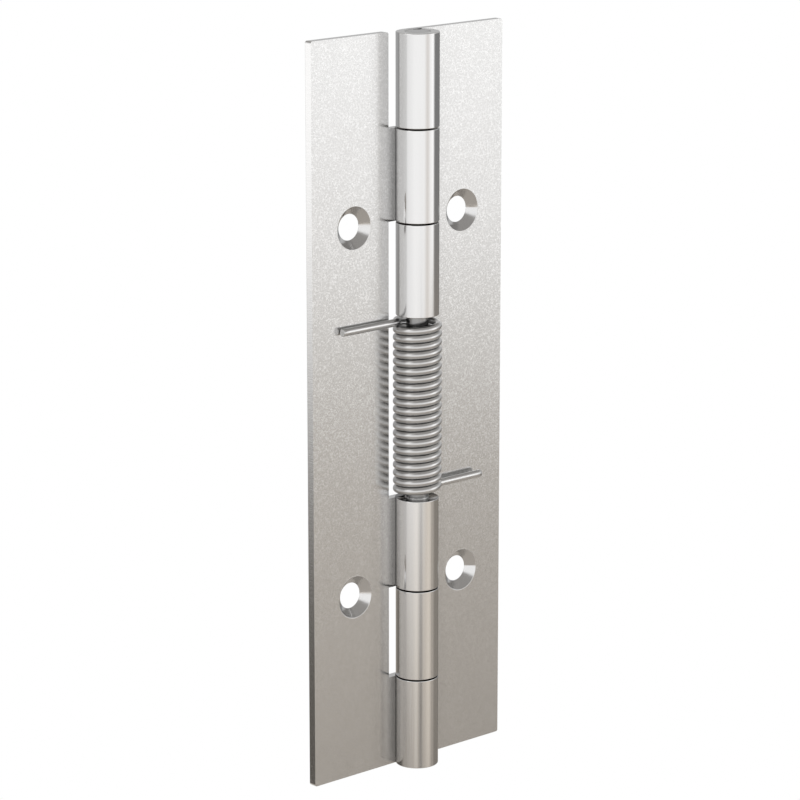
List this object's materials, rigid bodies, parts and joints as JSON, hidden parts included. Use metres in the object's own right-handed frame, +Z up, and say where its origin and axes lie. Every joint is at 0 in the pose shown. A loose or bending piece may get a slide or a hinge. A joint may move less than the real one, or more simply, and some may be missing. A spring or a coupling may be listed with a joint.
{
  "type": "spring loaded door hinge",
  "caption": "Flat door hinge of two screwed leaves with rolled knuckles on a pin, and a torsion spring coiled round the pin that swings the leaves back flat.",
  "frame": {"origin": "on the pin's axis at half the hinge's height", "axes": "+Z up along the pin, +X from the pin towards the right leaf's free edge, -Y towards the barrel and countersinks, +Y towards the surface that the leaves are screwed to"},
  "size_m": [0.057, 0.011, 0.17],
  "materials": {
    "satin_stainless": "fine satin on the flats, polished barrel",
    "pin_steel": "turned bright steel",
    "spring_wire": "bright drawn spring wire"
  },
  "bodies": {
    "frame_side": {"left_leaf": "satin_stainless", "torsion_spring": "spring_wire"},
    "door_side": {"right_leaf": "satin_stainless", "hinge_pin": "pin_steel"}
  },
  "joints": [
    {"name": "leaf_swing", "type": "hinge", "parent": "frame_side", "child": "door_side", "pos_m": [0, 0, 0], "axis": [0, 0, -1], "range_deg": [0, 180], "stiffness_Nm_per_rad": 0.075, "deforming": ["torsion_spring"]}
  ]
}
